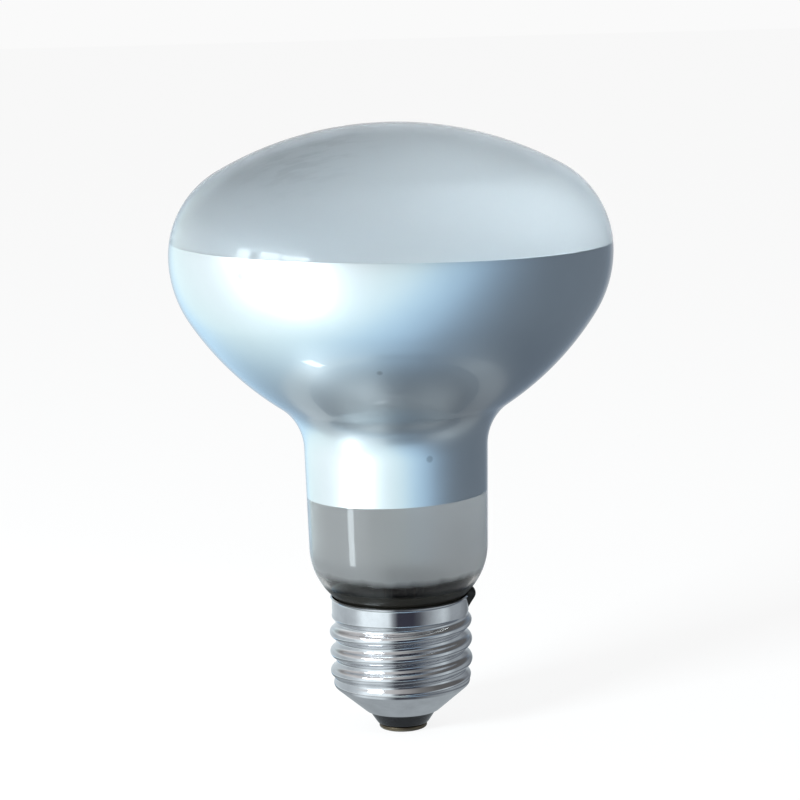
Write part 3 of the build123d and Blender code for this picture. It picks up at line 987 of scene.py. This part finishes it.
# The reflected room, by how far a direction faces the window: dark away from it, blue, then bright.
ROOM_SHADES = [
    (0.09, (0.13, 0.155, 0.185)),
    (0.23, (0.19, 0.25, 0.32)),
    (0.31, (0.33, 0.48, 0.64)),
    (0.47, (0.49, 0.71, 0.89)),
    (0.57, (0.74, 0.89, 0.90)),
    (0.82, (0.84, 0.90, 0.91)),
]
MIRRORED_SKY = [(0.1, 0.08), (0.4, 0.10), (0.6, 0.16), (0.75, 0.27), (0.9, 0.45), (0.97, 0.5)]
# The sky that rays through the glass see, by how far they face its bright side.
PASSED_SKY = [(0.1, 0.12), (0.45, 0.14), (0.62, 0.24), (0.8, (1.4, 1.55, 1.6)), (0.97, (9.0, 9.8, 10.2))]
PASSED_SKY_WAY = (0.92, 0.2, 0.34)
ROOM_BEHIND, ROOM_BELOW = (0.42, 0.43, 0.44), (0.07, 0.09, 0.12)
ROOM_BELOW_WAY = (0.0, 0.5, -0.87)
FLOOR_REACH = 4.0
CARD_LIFT = 0.6 * MM


def card_of(name, points, faces, material):
    """Card of the stage, as a mesh of the given points and faces."""
    mesh = bpy.data.meshes.new(name)
    mesh.from_pydata(points, [], faces)
    mesh.materials.append(material)
    card = linked(name, mesh)
    return card


def ring_card(name, start, end, near, far, low, high, material, steps=32):
    """Strip of a ring round the lamp that only reflections show.

    It runs between two turns in degrees from the camera's side to the left, and rises from the near
    radius and the low height to the far radius and the high height.
    """
    turns = radians(start) + radians(end - start) * np.linspace(0, 1, steps + 1)
    way = np.stack([-np.sin(turns), -np.cos(turns), 0 * turns], axis=-1)
    rise = np.array([0, 0, 1.0])
    points = np.concatenate([way * near + rise * low, way * far + rise * high])
    index = np.arange(steps)
    quads = np.stack([index, index + 1, index + steps + 2, index + steps + 1], axis=-1)
    card = card_of(name, points.tolist(), quads.tolist(), material)
    card.visible_camera = card.visible_diffuse = False
    card.visible_transmission = card.visible_shadow = False


def collar_matter(name, stage, stops, strength, flat):
    """Glow that varies round the lamp by the turn from the camera's side.

    On the wall it fades out towards the top. On the flat mat it is even near the cap's foot, dimmer away
    from it, and fades out at the edge.
    """
    recipe = Recipe(name)
    x, y, z = recipe.axes()
    stops = [((angle + 180) / 360, level) for angle, level in stops]
    level = recipe.ramp((recipe.turned(x, y) + pi) / (2 * pi), *stops)
    if flat:
        reach = (x * x + y * y) ** 0.5 / stage.collar_radius
        shown = reach.rising(1.0, -0.3)
        near, middle = reach.rising(0.36, -0.1), reach.rising(0.8, -0.25)
        level = near * stage.cone_light + (1.0 - near) * level * (middle * 0.75 + 0.25)
    else:
        shown = (z / stage.collar_height).rising(1.0, -0.25)
    tinted = recipe.mixed(level, stage.dark_card, stage.window_tint)
    clear = recipe.node("ShaderNodeBsdfTransparent").outputs[0]
    return recipe.ending(recipe.blended(shown, clear, recipe.glowing(tinted, strength)))


def soft_light(name, place, aim, width, height, spread, power, colour):
    """Rectangular light at a place, turned towards what it lights and unseen in reflections."""
    lamp = bpy.data.lights.new(name, "AREA")
    lamp.shape = "RECTANGLE"
    lamp.size, lamp.size_y = width, height
    lamp.spread = spread
    lamp.energy = power
    lamp.color = colour
    holder = linked(name, lamp)
    holder.location = place
    holder.rotation_euler = (Vector(aim) - Vector(place)).to_track_quat("-Z", "Y").to_euler()
    holder.visible_glossy = holder.visible_transmission = False


class LAMP_OT_stage(Operator):
    """Set the camera, the lights, the floor and the cards."""

    bl_idname = "lamp.stage"
    bl_label = "Stage"

    def execute(self, context):
        stage = context.scene.lamp_stage
        self.set_camera(context.scene, stage)
        self.set_world(context.scene, stage)
        edge = FLOOR_REACH
        corners = [(-edge, -edge, 0), (edge, -edge, 0), (edge, edge, 0), (-edge, edge, 0)]
        ground = card_of("floor", corners, [(0, 1, 2, 3)], pale_floor(stage.floor_white))
        ground.visible_glossy = False
        self.set_cards(stage)
        soft_light("window", *LIGHTS["window"], stage.window_power, stage.window_tint)
        soft_light("side", *LIGHTS["side"], stage.side_power, stage.window_tint)
        return {"FINISHED"}

    def set_cards(self, stage):
        """Cards that only reflections show: a collar round the cap, a mat under it and window panes."""
        wall, rim, hole = stage.collar_radius, stage.collar_height, 3 * MM
        collar = collar_matter("collar", stage, ROOM_ROUND_CAP, stage.collar_light, False)
        ring_card("collar", -180, 180, wall, wall, 0.5 * MM, rim, collar, 96)
        mat = collar_matter("mat", stage, ROOM_UNDER_CAP, 1.0, True)
        ring_card("mat", -180, 180, hole, wall, CARD_LIFT, CARD_LIFT, mat, 96)
        glow = Recipe("window_panes")
        panes = glow.ending(glow.glowing(stage.window_tint, stage.pane_light))
        for name, (start, end, low, high, away) in PANES.items():
            ring_card(name, start, end, away, away, low, high, panes)

    def set_camera(self, scene, stage):
        lens = bpy.data.cameras.new("camera")
        lens.lens = stage.lens
        lens.sensor_width = 36.0
        camera = linked("camera", lens)
        camera.location = (stage.camera_side, -stage.camera_distance, stage.camera_height)
        aim = Vector((stage.camera_side, 0, stage.aim_height)) - camera.location
        level = aim.to_track_quat("-Z", "Y").to_matrix()
        camera.rotation_euler = (level @ Matrix.Rotation(stage.roll, 3, "Z")).to_euler()
        lens.clip_start, lens.clip_end = 0.01, 20
        scene.camera = camera

    def set_world(self, scene, stage):
        """White to the camera and an even level to matt surfaces.

        Reflections see the room, with a dim sky over it that grows lighter towards the window. Rays
        through the glass see a sky with a bright side instead. It is far stronger than white, and stands
        for the light in the bulb that the lights don't give, as they aren't sampled through glass. The
        room is grey far behind the lamp and dark below it. Each pattern follows the dot product of the
        direction with the way it faces, which lies between -1.1 and 1.1.
        """
        room = Recipe("room", world=True)
        direction = room.node("ShaderNodeTexCoord").outputs["Generated"]
        axes = room.node("ShaderNodeSeparateXYZ", inputs={0: direction})
        path = room.node("ShaderNodeLightPath")
        to_window = (room.facing(direction, tuple(stage.window_way)) + 1.1) / 2.2
        to_bright_side = (room.facing(direction, PASSED_SKY_WAY) + 1.1) / 2.2
        passed = Reading(room, path.outputs["Is Transmission Ray"])
        sky = room.mixed(passed, room.ramp(to_window, *MIRRORED_SKY), room.ramp(to_bright_side, *PASSED_SKY))
        up = Reading(room, axes.outputs[2]).rising(0.05, 0.4)
        behind = Reading(room, axes.outputs[1]).rising(0.88, 0.12)
        below = room.facing(direction, ROOM_BELOW_WAY).rising(0.76, 0.2)
        shades = room.mixed(up, room.ramp(to_window, *ROOM_SHADES), sky)
        shades = room.mixed(below, room.mixed(behind, shades, ROOM_BEHIND), ROOM_BELOW)
        camera, seen = Reading(room, path.outputs["Is Camera Ray"]), room.seen_rays()
        level = seen * (stage.room_light - stage.fill) + stage.fill
        level = camera * (1.0 - level) + level
        sight = room.mixed(camera, shades, stage.background)
        inputs = {"Color": room.mixed(seen, (1.0, 1.0, 1.0), sight), "Strength": level}
        dome = room.node("ShaderNodeBackground", inputs=inputs)
        scene.world = room.ending(dome.outputs[0])
        scene.view_settings.view_transform = "Standard"


class LAMP_PT_panel(Panel):
    """Lists the lamp's operators in the sidebar."""

    bl_idname = "LAMP_PT_panel"
    bl_label = "Heat lamp"
    bl_space_type = "VIEW_3D"
    bl_region_type = "UI"
    bl_category = "Heat lamp"

    def draw(self, context):
        for operator in OPERATORS:
            self.layout.operator(operator.bl_idname)
        for group in GROUPS:
            box = self.layout.box()
            box.label(text=group.replace("_", " ").capitalize())
            for name in GROUPS[group].__annotations__:
                box.prop(getattr(context.scene, group), name)


GROUPS = {
    "lamp_bulb": BulbSizes,
    "lamp_cap": CapSizes,
    "lamp_filament": FilamentSizes,
    "lamp_finishes": Finishes,
    "lamp_stage": StageSizes,
}
OPERATORS = [
    LAMP_OT_bulb_glass,
    LAMP_OT_cap_shell,
    LAMP_OT_contact,
    LAMP_OT_side_solder,
    LAMP_OT_filament,
    LAMP_OT_inner_parts,
    LAMP_OT_stage,
]


def register():
    for kind in [*GROUPS.values(), *OPERATORS, LAMP_PT_panel]:
        bpy.utils.register_class(kind)
    for name, kind in GROUPS.items():
        setattr(bpy.types.Scene, name, PointerProperty(type=kind))


def unregister():
    for name in GROUPS:
        delattr(bpy.types.Scene, name)
    for kind in reversed([*GROUPS.values(), *OPERATORS, LAMP_PT_panel]):
        bpy.utils.unregister_class(kind)


def main():
    register()
    bpy.ops.lamp.bulb_glass()
    bpy.ops.lamp.cap_shell()
    bpy.ops.lamp.contact()
    bpy.ops.lamp.side_solder()
    bpy.ops.lamp.filament()
    bpy.ops.lamp.inner_parts()
    bpy.ops.lamp.stage()


if __name__ == "__main__":
    main()
